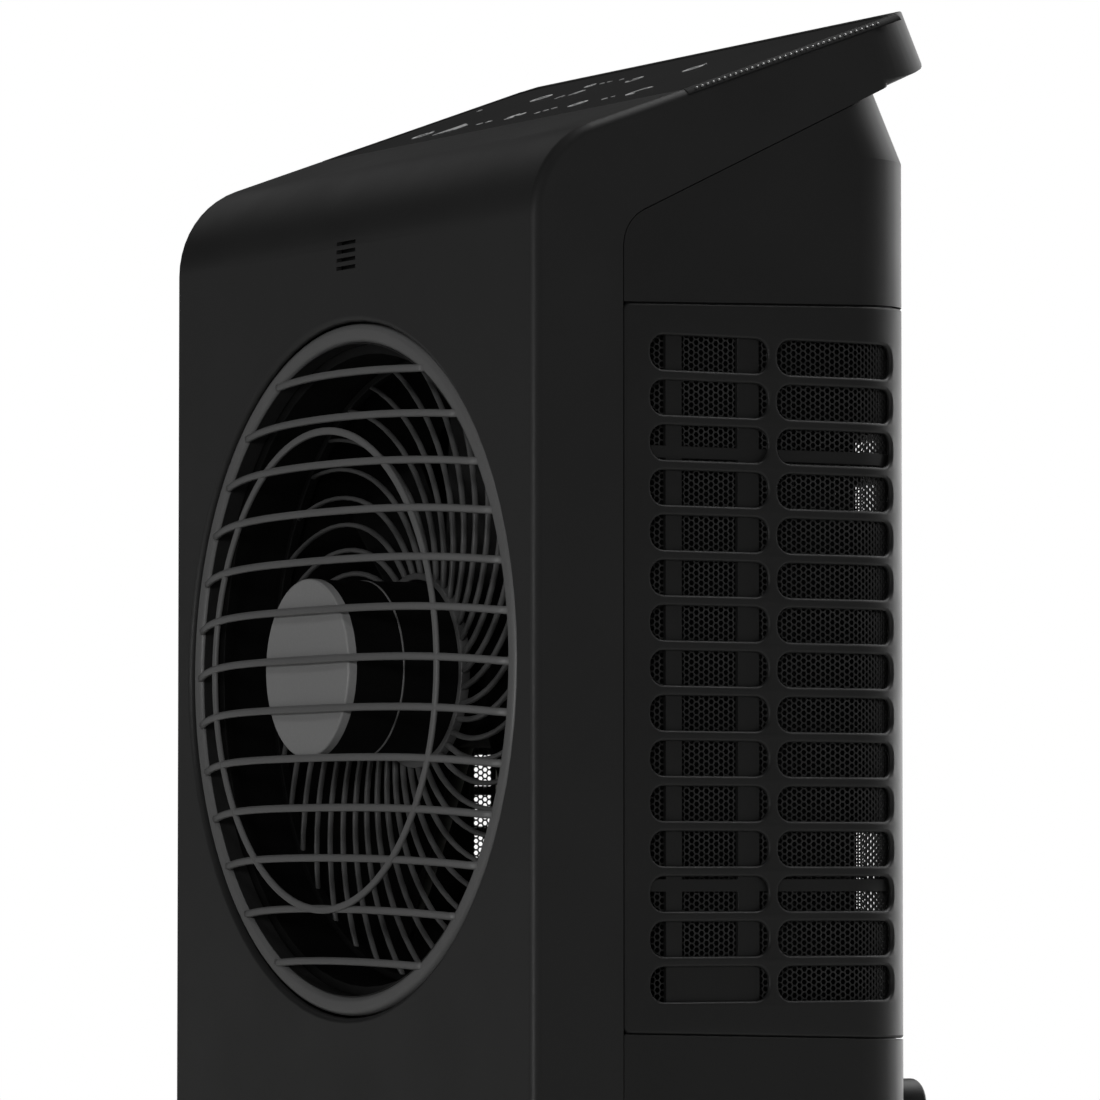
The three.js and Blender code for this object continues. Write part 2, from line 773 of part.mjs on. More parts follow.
function place(name, piece, finish) {
  const mesh = new THREE.Mesh(geometryOf(piece), materials[finish]);
  mesh.name = name;
  purifier.add(mesh);
}

place('front_shell', frontShell(), 'shell_plastic');
place('upper_rear_housing', upperRearHousing(), 'housing_plastic');
place('lower_rear_housing', lowerRearHousing(), 'housing_plastic');
place('base_plate', basePlate(), 'inner_plastic');
place('intake_cover', intakeCover(), 'housing_plastic');
place('prefilter_frame', prefilterFrame(), 'housing_plastic');
place('prefilter_net', prefilterNet(), 'net_nylon');
place('outlet_grille', outletGrille(), 'grille_plastic');
place('sensor_vent', sensorVent(), 'inner_plastic');
place('panel_trim', panelTrim(), 'trim_plastic');
place('control_glass', controlGlass(), 'panel_glass');
place('touch_board', roofBoard(150, alongRoof(92), alongRoof(190), 9, 1.6), 'board');
place('display_module', roofBoard(62, alongRoof(120), alongRoof(165), 11, 7), 'display_resin');
place('hub_disc', hubDisc(), 'hub_paint');
place('motor_cover_front', motorCoverFront(), 'inner_plastic');
place('motor_cover_rear', motorCoverRear(), 'inner_plastic');
place('motor_can', motorCan(), 'steel');
place('guide_vanes', guideVanes(), 'vane_plastic');
place('fan_shroud', fanShroud(), 'inner_plastic');
place('impeller', impeller(), 'inner_plastic');
place('motor_shaft', motorShaft(), 'steel');
place('impeller_nut', impellerNut(), 'brass');
place('shaft_bearing', bearingRing(41, 44, shaftRadius + 0.3, 9.6), 'steel');
place('filter_frame', filterFrame(), 'filter_card');
place('filter_media', filterSlab(filterFront + 2, filterBack - 9), 'filter_paper');
place('carbon_layer', filterSlab(filterBack - 8, filterBack - 2), 'carbon');
place('filter_tab', filterTab(), 'rubber');
place('filter_guide_left', filterGuide(-1), 'inner_plastic');
place('filter_guide_right', filterGuide(1), 'inner_plastic');
place('filter_shelf', filterShelf(), 'inner_plastic');
place('dust_sensor', block(-24, 7, 488, 24, 22, 514), 'inner_plastic');
place('power_board', block(-150, 70, 26, -20, 180, 27.6), 'board');
place('power_transformer', block(-130, 90, 28, -85, 140, 62), 'steel');
place('board_tray', block(-156, 64, 14, -14, 186, 25), 'inner_plastic');
place('mains_inlet', back(rectangle(-18.4, 38.6, 18.4, 65.4, 2.6, 2), 196, rearDepth - 0.6)
  .subtract(back(rectangle(-12.5, 44, 12.5, 60, 4, 2), 206, 260)), 'inner_plastic');
for (const [name, side] of [['left', -1], ['right', 1]]) {
  place(`cord_hook_${name}`, cordHook(side), 'housing_plastic');
  place(`foot_front_${name}`, baseFoot(side * 155, 34), 'rubber');
  place(`foot_rear_${name}`, baseFoot(side * 135, 190), 'rubber');
}

// the origin is the middle of the whole object's floor area
const reach = new THREE.Box3().setFromObject(purifier);
purifier.position.y = -(reach.min.y + reach.max.y) / 2;
purifier.updateMatrixWorld(true);

export default purifier;
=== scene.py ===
# A floor-standing air purifier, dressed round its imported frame.
# Sizes are millimetres: X across the front, depth back from the front face, height above the floor.
# The lights alone are placed in metres, from the middle of the object's footprint.
import json
import math
from contextlib import contextmanager

import bmesh
import bpy
import numpy as np
from mathutils import Matrix, Vector


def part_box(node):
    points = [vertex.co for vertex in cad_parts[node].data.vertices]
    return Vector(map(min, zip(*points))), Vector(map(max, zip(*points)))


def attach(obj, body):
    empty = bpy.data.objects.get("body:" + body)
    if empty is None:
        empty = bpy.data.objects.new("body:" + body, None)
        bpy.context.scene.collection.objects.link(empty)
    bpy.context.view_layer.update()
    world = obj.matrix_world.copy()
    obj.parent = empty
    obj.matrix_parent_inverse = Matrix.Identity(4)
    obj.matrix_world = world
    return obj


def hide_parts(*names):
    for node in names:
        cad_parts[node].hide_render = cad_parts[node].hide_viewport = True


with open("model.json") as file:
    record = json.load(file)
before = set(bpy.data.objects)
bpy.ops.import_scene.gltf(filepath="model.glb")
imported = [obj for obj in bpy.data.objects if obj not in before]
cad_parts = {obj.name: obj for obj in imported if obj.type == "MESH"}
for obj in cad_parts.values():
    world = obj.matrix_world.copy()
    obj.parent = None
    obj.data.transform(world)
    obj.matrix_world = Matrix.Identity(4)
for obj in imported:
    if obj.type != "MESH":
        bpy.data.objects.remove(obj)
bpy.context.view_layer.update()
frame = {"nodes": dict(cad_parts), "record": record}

MM = 0.001
FRONT_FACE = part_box("front_shell")[0][1]

# ---- sizes shared with the frame ----
HALF_WIDTH = 190.0
REAR = 224.4  # depth of the back wall's outer face
CORNER = 43.5  # radius of the two upright corners at the back
OUTLET_HEIGHT = 300.3
ROOF_SLOPE = math.radians(20.0)
ROOF_START = 543.4  # height at which the roof's plane meets the front face
ROOF_EDGE = 5.0  # radius of the roof's two long edges

COVER_FRONT = 49.2
COVER_THICKNESS = 3.0
COVER_TOP = (470.0, 475.1)  # height of the top edge at its front end and at the back wall
COVER_BOTTOM = (124.2, 119.5)
COVER_CORNER = 3.6
SLOT_ROWS = 15
SLOT_PITCH = 21.44
SLOT_TOP = 447.2  # height of the middle of the top row
SLOT_HEIGHT = 16.5
SLOT_CORNER = 7.2
SLOT_LIP = 1.45  # rounding of every edge of the cover
SLOT_SIDE = (129.5, 63.9)  # depth of the rear and the front end of a side slot
SLOT_WRAP = 134.5  # depth at which a slot that comes round the corner ends
NET_PITCH = 3.15
NET_WALL = 0.95
NET_SPAN = (131.5, 462.5)  # lowest and highest point
NET_INSET = 6.9  # from the cover's outer face to the middle of the net

GRILLE_OUTER = 170.9
GRILLE_INNER = 161.5
GRILLE_DEPTH = 11.0
MIDDLE_RING = 118.0
MIDDLE_RING_DEPTH = -12.65
DOME_FRONT = -24.8  # depth of the dome's centre
DOME_FALL = 26.0
DOME_POWER = 2.424
BARS_EACH_WAY = 6
BAR_PITCH = 24.15
BAR_RISE = 4.63  # how far a bar arches upwards at its middle
BAR_RISE_POWER = 3.95
BARS_HEIGHT = 299.8
HUB_RADIUS = 44.3
HUB_FACE = -21.6
HUB_THICKNESS = 5.0
MOTOR_SEAM = 9.6  # depth at which the two motor covers meet
MOTOR_REAR = 44.0
BLADES = 7
RIBS = 37


# ---- where things go ----
def at(points):
    """Millimetre points (X, depth, height) as metres in the object's own frame."""
    seat = np.array(points, float).reshape(-1, 3) * MM
    seat[:, 1] += FRONT_FACE
    return seat


def on_roof(points):
    """(X, distance up the slope, height above it) on the sloping roof as (X, depth, height)."""
    x, along, above = np.array(points, float).reshape(-1, 3).T
    depth = along * math.cos(ROOF_SLOPE) - above * math.sin(ROOF_SLOPE)
    height = ROOF_START + along * math.sin(ROOF_SLOPE) + above * math.cos(ROOF_SLOPE)
    return np.stack([x, depth, height], 1)


FLAT = HALF_WIDTH - CORNER
ARC = CORNER * math.pi / 2


def round_the_back(points):
    """(distance round the back wall, height, distance out from it) as (X, depth, height)."""
    along, height, out = np.array(points, float).reshape(-1, 3).T
    side = np.sign(along)
    far = np.abs(along)
    turn = np.clip((far - FLAT) / CORNER, 0, math.pi / 2)
    x = np.minimum(far, FLAT) + (CORNER + out) * np.sin(turn)
    depth = REAR - CORNER + (CORNER + out) * np.cos(turn) - np.maximum(far - FLAT - ARC, 0)
    return np.stack([side * x, depth, height], 1)


def along_wall(depth):
    """How far round the back wall a place on the side wall is."""
    return FLAT + ARC + REAR - CORNER - depth


def round_corner(degrees):
    """How far round the back wall a place on its corner is."""
    return FLAT + CORNER * math.radians(degrees)


def up_slope(depth):
    """How far up the roof's slope a depth is."""
    return depth / math.cos(ROOF_SLOPE)


# ---- nodes ----
def add(tree, kind, inputs=None, **settings):
    """Adds one node with its settings, and sets or links its inputs."""
    made = tree.nodes.new(kind)
    for name, value in settings.items():
        setattr(made, name, value)
    for name, value in (inputs or {}).items():
        if isinstance(value, bpy.types.NodeSocket):
            tree.links.new(value, made.inputs[name])
        else:
            made.inputs[name].default_value = value
    return made


def linear(hex_colour):
    """An sRGB hex colour as linear RGBA."""
    parts = [int(hex_colour[i : i + 2], 16) / 255 for i in (0, 2, 4)]
    return [p / 12.92 if p <= 0.04045 else ((p + 0.055) / 1.055) ** 2.4 for p in parts] + [1.0]


# ---- materials ----
BROAD = 60.0  # size of the slow drift in colour and roughness


def finish_of(
    name,
    dark,
    light,
    roughness,
    grain=0.5,
    relief=0.02,
    spread=0.04,
    metallic=0.0,
    ior=1.46,
    shine=0.5,
    stretch=(1, 1, 1),
):
    """Colour and roughness that wander between limits, over a grain of a real size in millimetres."""
    material = bpy.data.materials.new(name)
    material.use_nodes = True
    tree = material.node_tree
    tree.nodes.clear()
    place = add(tree, "ShaderNodeTexCoord").outputs["Object"]
    stretched = add(tree, "ShaderNodeMapping", {"Vector": place, "Scale": stretch}).outputs["Vector"]
    fine = add(tree, "ShaderNodeTexNoise", {"Vector": stretched, "Scale": 1 / (grain * MM), "Detail": 3.0})
    fine = fine.outputs["Fac"]
    broad = add(tree, "ShaderNodeTexNoise", {"Vector": place, "Scale": 1 / (BROAD * MM), "Detail": 4.0})
    broad = broad.outputs["Fac"]
    blend = add(tree, "ShaderNodeMath", {0: fine, 1: broad}, operation="MULTIPLY").outputs[0]
    share = add(tree, "ShaderNodeMapRange", {"Value": blend, "From Min": 0.12, "From Max": 0.4})
    colour = add(tree, "ShaderNodeMix", {"Factor": share.outputs[0]}, data_type="RGBA")
    colour.inputs["A"].default_value = linear(dark)
    colour.inputs["B"].default_value = linear(light)
    limits = {"To Min": roughness - spread, "To Max": roughness + spread}
    rough = add(tree, "ShaderNodeMapRange", {"Value": broad, "From Min": 0.3, "From Max": 0.7, **limits})
    bump = add(tree, "ShaderNodeBump", {"Height": fine, "Strength": 0.6, "Distance": relief * MM})
    shader = add(
        tree,
        "ShaderNodeBsdfPrincipled",
        {
            "Roughness": rough.outputs[0],
            "Normal": bump.outputs[0],
            "Metallic": metallic,
            "Specular IOR Level": shine,
        },
    )
    if not metallic:
        shader.inputs["IOR"].default_value = ior
    tree.links.new(colour.outputs["Result"], shader.inputs["Base Color"])
    add(tree, "ShaderNodeOutputMaterial", {"Surface": shader.outputs[0]})
    return material


# Moulded ABS with a fine spark-eroded grain: a soft, even sheen with no mirror image in it. The grain
# is drawn several times coarser than the real one, so that it shows at all.
abs_shell = finish_of("ABS_fine_grain_black", "1c1c1c", "202020", 0.44, grain=0.7, relief=0.012)
# The same ABS from a coarser tool: a little darker, with a broader highlight.
abs_housing = finish_of("ABS_matte_black", "161616", "1a1a1a", 0.5, grain=0.8, relief=0.018)
# Glass-filled nylon with a satin skin, as thin ribs are moulded: greyer, each bar with a narrow highlight.
nylon_grille = finish_of("nylon_satin_grey", "565656", "5e5e5e", 0.38, grain=0.5, relief=0.01)
# The same nylon as the bars with shade painted in: darker and a little duller, so the ribs deep in the
# duct stay behind the bars.
nylon_vanes_shaded = finish_of("nylon_vane_grey_painted_shade", "464646", "4e4e4e", 0.42, grain=0.6, relief=0.01)
# Polypropylene, dull and waxy, for what sits deep inside: black plastic, painted darker than the casing as
# shade, so it reads nearly black, with hardly any shine.
inner_black_shaded = finish_of("polypropylene_black_shaded", "060606", "0a0a0a", 0.6, grain=1.2, relief=0.02, shine=0.25)
# Woven and heat-set polyester: a dark grey mesh that catches a little light on its crests.
net_black = finish_of("polyester_net_black", "303030", "383838", 0.6, grain=0.4, relief=0.01)
# Steel sheet painted mid grey: smooth, with a faint orange peel of about 1.5 mm.
hub_grey = finish_of("enamel_mid_grey", "7c7c7c", "828282", 0.42, grain=1.5, relief=0.008)
# Polished acrylic: a clean, sharp reflection over a near-black back coat.
panel_acrylic = finish_of(
    "acrylic_gloss_black",
    "0e0e0e",
    "121212",
    0.12,
    grain=20,
    relief=0.001,
    spread=0.02,
    ior=1.49,
    shine=0.12,
)
# Anodised aluminium: a pale, even glint on each small bead.
rim_bright = finish_of("anodised_rim", "8a8a8a", "9a9a9a", 0.3, grain=0.3, relief=0.004, metallic=0.8)
# Screen-printed ink, opaque and matt: a flat pale mark on the gloss.
ink_pale = finish_of("screen_ink_pale", "c4c4c4", "d8d8d8", 0.5, grain=0.2, relief=0.004)
# Turned and drawn steel: fine lines run round the depth axis.
steel_drawn = finish_of(
    "steel_drawn", "9a9a98", "b4b4b2", 0.3, grain=0.6, relief=0.006, metallic=1.0, stretch=(1, 12, 1)
)
# Free-cutting brass off the lathe: warm yellow, with the same turned lines.
brass_turned = finish_of(
    "brass_turned", "b08d3c", "c9a85a", 0.28, grain=0.5, relief=0.005, metallic=1.0, stretch=(1, 8, 1)
)
# Pressed card: off-white and matt, with fibres of nearly a millimetre.
filter_card = finish_of("pressed_card", "c9c8c0", "dad9d2", 0.85, grain=0.9, relief=0.05)
# Pleated glass-fibre paper: whiter than the card, with no shine at all.
filter_paper = finish_of("glass_fibre_paper", "dcdbd4", "f0efe9", 0.9, grain=0.6, relief=0.06)
# Foam loaded with carbon: a dead black surface, broken by cells of about 2 mm.
carbon_foam = finish_of("carbon_foam", "101010", "1e1e1e", 0.95, grain=2.0, relief=0.4)
# Moulded rubber: black and dull, faintly rough.
rubber_black = finish_of("rubber_black", "111111", "181818", 0.8, grain=0.5, relief=0.03)
# Solder mask on a circuit board: deep green with a wet-looking shine.
board_green = finish_of("solder_mask_green", "123a20", "1b4a2b", 0.35, grain=3.0, relief=0.02)
# Diffuser-grade plastic: milky, even and slightly glossy.
light_guide = finish_of("diffuser_white", "d2d2d2", "e2e2e2", 0.45, grain=0.5, relief=0.01)


# ---- making meshes ----
def mesh_of(name, points, faces):
    """A mesh from its points and faces."""
    mesh = bpy.data.meshes.new(name)
    mesh.from_pydata([tuple(p) for p in points], [], faces)
    return mesh


@contextmanager
def reworked(mesh):
    """Opens a mesh for editing and writes it back afterwards."""
    work = bmesh.new()
    work.from_mesh(mesh)
    yield work
    work.to_mesh(mesh)
    work.free()


def tidy(mesh, join=1e-4):
    """Merges doubled points and turns every face outwards."""
    with reworked(mesh) as work:
        bmesh.ops.remove_doubles(work, verts=work.verts, dist=join)
        bmesh.ops.recalc_face_normals(work, faces=work.faces)


def moved(mesh, place):
    """Passes every point of a mesh through a placing function."""
    points = np.empty(len(mesh.vertices) * 3)
    mesh.vertices.foreach_get("co", points)
    mesh.vertices.foreach_set("co", place(points.reshape(-1, 3)).ravel())
    mesh.update()
    return mesh


def piece(name, mesh, material, body="housing", nodes=(), rounding=0.0, sharp=35.0):
    """One finished object: its mesh in place, its edges broken, riding on its body."""
    made = bpy.data.objects.new(name, mesh)
    bpy.context.scene.collection.objects.link(made)
    mesh.materials.clear()
    mesh.materials.append(material)
    mesh.polygons.foreach_set("use_smooth", [True] * len(mesh.polygons))
    if rounding:
        edge = made.modifiers.new("broken_edges", "BEVEL")
        edge.width = rounding * MM
        edge.segments = 2
        edge.limit_method = "ANGLE"
        edge.angle_limit = math.radians(sharp)
        edge.use_clamp_overlap = True
    flat = made.modifiers.new("flat_faces_flat", "WEIGHTED_NORMAL")
    flat.keep_sharp = False
    flat.weight = 80
    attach(made, body)
    if nodes:
        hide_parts(*nodes)


BODY_OF = {node: body for body, nodes in frame["record"]["behaviour"]["bodies"].items() for node in nodes}


def from_frame(node, material, rounding=0.5, sharp=35.0):
    """A frame node's own shape with clean flats and broken edges."""
    mesh = frame["nodes"][node].data.copy()
    level = math.radians(0.6)
    with reworked(mesh) as work:
        bmesh.ops.remove_doubles(work, verts=work.verts, dist=2e-6)
        bmesh.ops.dissolve_limit(
            work, angle_limit=level, use_dissolve_boundaries=False, verts=work.verts, edges=work.edges
        )
    mesh.name = node
    piece(f"{node}_made", mesh, material, BODY_OF[node], [node], rounding, sharp)


def stands_for(name, mesh, material, node):
    """A piece made afresh in a frame node's place, riding on that node's body."""
    piece(name, mesh, material, BODY_OF[node], [node])


def turned(profile, steps, height=0.0, x=0.0):
    """A closed (radius, depth) outline turned about an axis that runs front to back."""
    count = len(profile)
    points = []
    for step in range(steps):
        angle = 2 * math.pi * step / steps
        for radius, depth in profile:
            points.append((x + radius * math.cos(angle), depth, height + radius * math.sin(angle)))
    faces = []
    for step in range(steps):
        here, there = step * count, (step + 1) % steps * count
        for i in range(count):
            j = (i + 1) % count
            faces.append((here + i, here + j, there + j, there + i))
    mesh = mesh_of("turned", points, faces)
    with reworked(mesh) as work:
        bmesh.ops.remove_doubles(work, verts=work.verts, dist=1e-4)
        bmesh.ops.dissolve_degenerate(work, edges=work.edges, dist=1e-4)
        bmesh.ops.recalc_face_normals(work, faces=work.faces)
    return mesh


def rounded(points, radius, steps=4):
    """A closed outline with every corner rounded; a radius may be given for each corner."""
    radii = radius if hasattr(radius, "__len__") else [radius] * len(points)
    out = []
    count = len(points)
    for i, (corner, r) in enumerate(zip(points, radii)):
        here = Vector(corner)
        if r <= 0:
            out.append(tuple(here))
            continue
        back = (Vector(points[i - 1]) - here).normalized()
        on = (Vector(points[(i + 1) % count]) - here).normalized()
        half = math.acos(max(-1.0, min(1.0, back.dot(on)))) / 2
        reach = r / math.tan(half)
        centre = here + (back + on).normalized() * (r / math.sin(half))
        first = here + back * reach - centre
        last = here + on * reach - centre
        start = math.atan2(first.y, first.x)
        turn = (math.atan2(last.y, last.x) - start + math.pi) % (2 * math.pi) - math.pi
        for step in range(steps + 1):
            angle = start + turn * step / steps
            out.append((centre.x + r * math.cos(angle), centre.y + r * math.sin(angle)))
    return out


def box_round(middle, across, through):
    """A rectangle about a middle point, as an outline."""
    x, y = middle
    a, b = across / 2, through / 2
    return [(x - a, y - b), (x + a, y - b), (x + a, y + b), (x - a, y + b)]


def swept(stations):
    """Joins equal closed sections, one after another, and caps both ends."""
    count = len(stations[0])
    points = [p for section in stations for p in section]
    faces = [tuple(range(count)), tuple(range(len(points) - count, len(points)))]
    for k in range(len(stations) - 1):
        for i in range(count):
            j = (i + 1) % count
            faces.append((k * count + i, k * count + j, (k + 1) * count + j, (k + 1) * count + i))
    mesh = mesh_of("swept", points, faces)
    tidy(mesh)
    return mesh


def joined(meshes):
    """Several meshes as one."""
    work = bmesh.new()
    for mesh in meshes:
        work.from_mesh(mesh)
    whole = bpy.data.meshes.new("joined")
    work.to_mesh(whole)
    work.free()
    return whole


def sheet_with_holes(outer, holes, thickness, lip):
    """A flat plate (X, Y outline) with holes, every edge rounded by the lip, its outer face at Z 0."""
    curve = bpy.data.curves.new("plate", "CURVE")
    curve.dimensions = "2D"
    curve.fill_mode = "BOTH"
    curve.extrude = thickness / 2 - lip
    curve.bevel_depth = lip
    curve.bevel_resolution = 2
    curve.offset = -lip
    for loop in [outer, *holes]:
        line = curve.splines.new("POLY")
        line.points.add(len(loop) - 1)
        line.points.foreach_set("co", [value for x, y in loop for value in (x, y, 0, 1)])
        line.use_cyclic_u = True
    holder = bpy.data.objects.new("plate", curve)
    bpy.context.scene.collection.objects.link(holder)
    graph = bpy.context.evaluated_depsgraph_get()
    mesh = bpy.data.meshes.new_from_object(holder.evaluated_get(graph))
    bpy.data.objects.remove(holder)
    moved(mesh, lambda p: p - [0, 0, thickness / 2])
    return mesh


# ---- repeats ----
def repeat_tree():
    """Copies a shape along a grid of steps, turning each copy a little further than the last."""
    tree = bpy.data.node_groups.new("repeat", "GeometryNodeTree")
    kinds = [
        ("Shape", "NodeSocketGeometry"),
        ("Count", "NodeSocketInt"),
        ("Columns", "NodeSocketInt"),
        ("Step", "NodeSocketVector"),
        ("Row step", "NodeSocketVector"),
        ("Stagger", "NodeSocketVector"),
        ("Turn", "NodeSocketVector"),
        ("Finish", "NodeSocketMaterial"),
    ]
    for name, kind in kinds:
        tree.interface.new_socket(name, in_out="INPUT", socket_type=kind)
    tree.interface.new_socket("Result", in_out="OUTPUT", socket_type="NodeSocketGeometry")
    given = add(tree, "NodeGroupInput").outputs
    number = add(tree, "GeometryNodeInputIndex").outputs[0]
    column = add(tree, "ShaderNodeMath", {0: number, 1: given["Columns"]}, operation="MODULO").outputs[0]
    divided = add(tree, "ShaderNodeMath", {0: number, 1: given["Columns"]}, operation="DIVIDE").outputs[0]
    row = add(tree, "ShaderNodeMath", {0: divided}, operation="FLOOR").outputs[0]
    odd = add(tree, "ShaderNodeMath", {0: column, 1: 2.0}, operation="MODULO").outputs[0]
    place = None
    for vector, amount in (("Step", column), ("Row step", row), ("Stagger", odd)):
        scaled = {0: given[vector], "Scale": amount}
        part = add(tree, "ShaderNodeVectorMath", scaled, operation="SCALE").outputs[0]
        if place is None:
            place = part
        else:
            place = add(tree, "ShaderNodeVectorMath", {0: place, 1: part}, operation="ADD").outputs[0]
    turning = {0: given["Turn"], "Scale": number}
    turn = add(tree, "ShaderNodeVectorMath", turning, operation="SCALE").outputs[0]
    points = add(tree, "GeometryNodePoints", {"Count": given["Count"], "Position": place}).outputs[0]
    copying = {"Points": points, "Instance": given["Shape"], "Rotation": turn}
    copies = add(tree, "GeometryNodeInstanceOnPoints", copying).outputs[0]
    real = add(tree, "GeometryNodeRealizeInstances", {"Geometry": copies}).outputs[0]
    done = add(tree, "GeometryNodeSetMaterial", {"Geometry": real, "Material": given["Finish"]}).outputs[0]
    add(tree, "NodeGroupOutput", {"Result": done})
    return tree


REPEAT = repeat_tree()


def repeated(shape, count, material, **values):
    """The shape's copies as one plain mesh."""
    holder = bpy.data.objects.new("repeat", shape)
    bpy.context.scene.collection.objects.link(holder)
    made = holder.modifiers.new("repeat", "NODES")
    made.node_group = REPEAT
    given = {"Count": count, "Columns": count, "Finish": material}
    given.update({name.replace("_", " "): value for name, value in values.items()})
    for item in REPEAT.interface.items_tree:
        if item.item_type == "SOCKET" and item.in_out == "INPUT" and item.name in given:
            made[item.identifier] = given[item.name]
    graph = bpy.context.evaluated_depsgraph_get()
    result = bpy.data.meshes.new_from_object(holder.evaluated_get(graph))
    bpy.data.objects.remove(holder)
    return result


# ---- casing ----
from_frame("front_shell", abs_shell, 0.5, 40)
from_frame("upper_rear_housing", abs_housing, 1.45, 40)
from_frame("lower_rear_housing", abs_housing, 1.4, 40)
from_frame("base_plate", inner_black_shaded, 0.8)


# ---- intake cover ----
def cover_edge(ends, u):
    """Height of the cover's sloping top or bottom edge a distance u round the wall."""
    at_front, at_rear = ends
    depth = round_the_back([(u, 0, 0)])[0][1]
    share = (depth - COVER_FRONT) / (REAR - COVER_FRONT)
    return at_front + (at_rear - at_front) * share


def cover_outline():
    """The cover laid flat: up one side wall, round the back and down the other."""
    end = along_wall(COVER_FRONT)
    stations = [-end, *np.linspace(-FLAT - ARC, -FLAT, 9), *np.linspace(FLAT, FLAT + ARC, 9), end]
    top = [(u, cover_edge(COVER_TOP, u)) for u in stations]
    bottom = [(u, cover_edge(COVER_BOTTOM, u)) for u in reversed(stations)]
    outline = top + bottom
    corners = {0, len(top) - 1, len(top), len(outline) - 1}
    radii = [COVER_CORNER if i in corners else 0.0 for i in range(len(outline))]
    return rounded(outline, radii)


def slot_columns():
    """Where each column of slots begins and ends, as distances round the wall."""
    rear_end, front_end = SLOT_SIDE
    side = (along_wall(rear_end), along_wall(front_end))
    wrap = (round_corner(59), along_wall(SLOT_WRAP))
    back = (100.0, round_corner(31))
    columns = [side, wrap, back]
    columns += [(-far, -near) for near, far in columns]
    half = 29.5
    columns += [(middle - half, middle + half) for middle in (-64.0, 0.0, 64.0)]
    return columns


def intake_cover():
    """A slotted sheet, cut along its corners so that it can bend, then wrapped round the back."""
    columns = slot_columns()
    holes = []
    for row in range(SLOT_ROWS):
        low = SLOT_TOP - row * SLOT_PITCH - SLOT_HEIGHT / 2
        high = low + SLOT_HEIGHT
        for near, far in columns:
            holes.append(rounded([(near, low), (far, low), (far, high), (near, high)], SLOT_CORNER, 5))
    mesh = sheet_with_holes(cover_outline(), holes, COVER_THICKNESS, SLOT_LIP)
    with reworked(mesh) as work:
        bmesh.ops.remove_doubles(work, verts=work.verts, dist=1e-3)
        for u in [*np.linspace(-FLAT - ARC, -FLAT, 15), *np.linspace(FLAT, FLAT + ARC, 15)]:
            everything = work.verts[:] + work.edges[:] + work.faces[:]
            across = {"plane_co": (u, 0, 0), "plane_no": (1, 0, 0)}
            bmesh.ops.bisect_plane(work, geom=everything, dist=1e-3, **across)
    moved(mesh, lambda p: at(round_the_back(p)))
    tidy(mesh, 1e-6)
    stands_for("intake_cover_made", mesh, abs_housing, "intake_cover")


intake_cover()


# ---- pre-filter ----
def net_wall(start, end, width):
    """One wall of a honeycomb cell: a ridge with its crest to the outside."""
    start, end = Vector(start), Vector(end)
    side = (end - start).orthogonal().normalized().to_3d() * width / 2
    crest, foot = Vector((0, 0, width * 0.35)), Vector((0, 0, -width * 0.5))
    section = (side + foot, crest, -side + foot)
    return [start.to_3d() + s for s in section], [end.to_3d() + s for s in section]


def honeycomb(u_from, u_to):
    """A net of six-sided holes on the inner face of the frame."""
    cell = NET_PITCH / math.sqrt(3)
    turns = [math.radians(degrees) for degrees in (-60, 0, 60, 120)]
    corners = [(cell * math.cos(turn), cell * math.sin(turn)) for turn in turns]
    points, faces = [], []
    for start, end in zip(corners, corners[1:]):
        here = len(points)
        near, far = net_wall(start, end, NET_WALL)
        points += near + far
        for i in range(3):
            j = (i + 1) % 3
            faces.append((here + i, here + 3 + i, here + 3 + j, here + j))
    step = cell * 1.5
    columns = int((u_to - u_from) / step) // 2 * 2
    low, high = NET_SPAN
    rows = int((high - low) / NET_PITCH)
    cells = repeated(
        mesh_of("net_cell", points, faces),
        columns * rows,
        net_black,
        Columns=columns,
        Step=(step, 0, 0),
        Row_step=(0, NET_PITCH, 0),
        Stagger=(0, NET_PITCH / 2, 0),
    )
    moved(cells, lambda p: at(round_the_back(p + [u_from + cell, low + cell, -NET_INSET])))
    return cells


def prefilter():
    """The frame behind the cover, and the net in it in three lengths that meet on the back wall."""
    from_frame("prefilter_frame", abs_housing, 0.3)
    end = along_wall(COVER_FRONT + 6)
    split = 118.0
    for length, start, stop in (("right", split, end), ("left", -end, -split), ("back", -split, split)):
        net = honeycomb(start, stop)
        stands_for(f"prefilter_net_{length}", net, net_black, "prefilter_net")


prefilter()


# ---- outlet ----
def dome(radius):
    """Depth of the grille's domed middle surface."""
    return DOME_FRONT + DOME_FALL * (radius / GRILLE_INNER) ** DOME_POWER


def grille_bar(index):
    """One bar, which bulges forward with the dome and arches a little upwards."""
    offset = index * BAR_PITCH
    reach = math.sqrt((GRILLE_INNER + 3) ** 2 - offset**2)
    section = rounded(box_round((0, 0), 3.0, 3.8), 1.3, 4)
    stations = []
    for x in np.linspace(-reach, reach, 41):
        radius = math.hypot(x, offset)
        lift = BAR_RISE * (1 - min(1.0, radius / GRILLE_INNER) ** BAR_RISE_POWER)
        height = BARS_HEIGHT + offset + lift
        stations.append([Vector((x, dome(radius) + a, height + b)) for a, b in section])
    return swept(stations)


def grille():
    """A rounded rim, a thinner ring half way in, and the bars that both hold."""
    near, far, back = GRILLE_INNER, GRILLE_OUTER, GRILLE_DEPTH
    rim = rounded([(near, 1.2), (far, 0.9), (far, back), (near, back)], [3.0, 3.2, 0.4, 0.4], 6)
    middle = rounded(box_round((MIDDLE_RING, MIDDLE_RING_DEPTH), 3.8, 2.2), 1.0, 4)
    parts = [turned(rim, 128, OUTLET_HEIGHT), turned(middle, 112, OUTLET_HEIGHT - 0.7)]
    parts += [grille_bar(index) for index in range(-BARS_EACH_WAY, BARS_EACH_WAY + 1)]
    mesh = joined(parts)
    moved(mesh, at)
    stands_for("outlet_grille_made", mesh, nylon_grille, "outlet_grille")


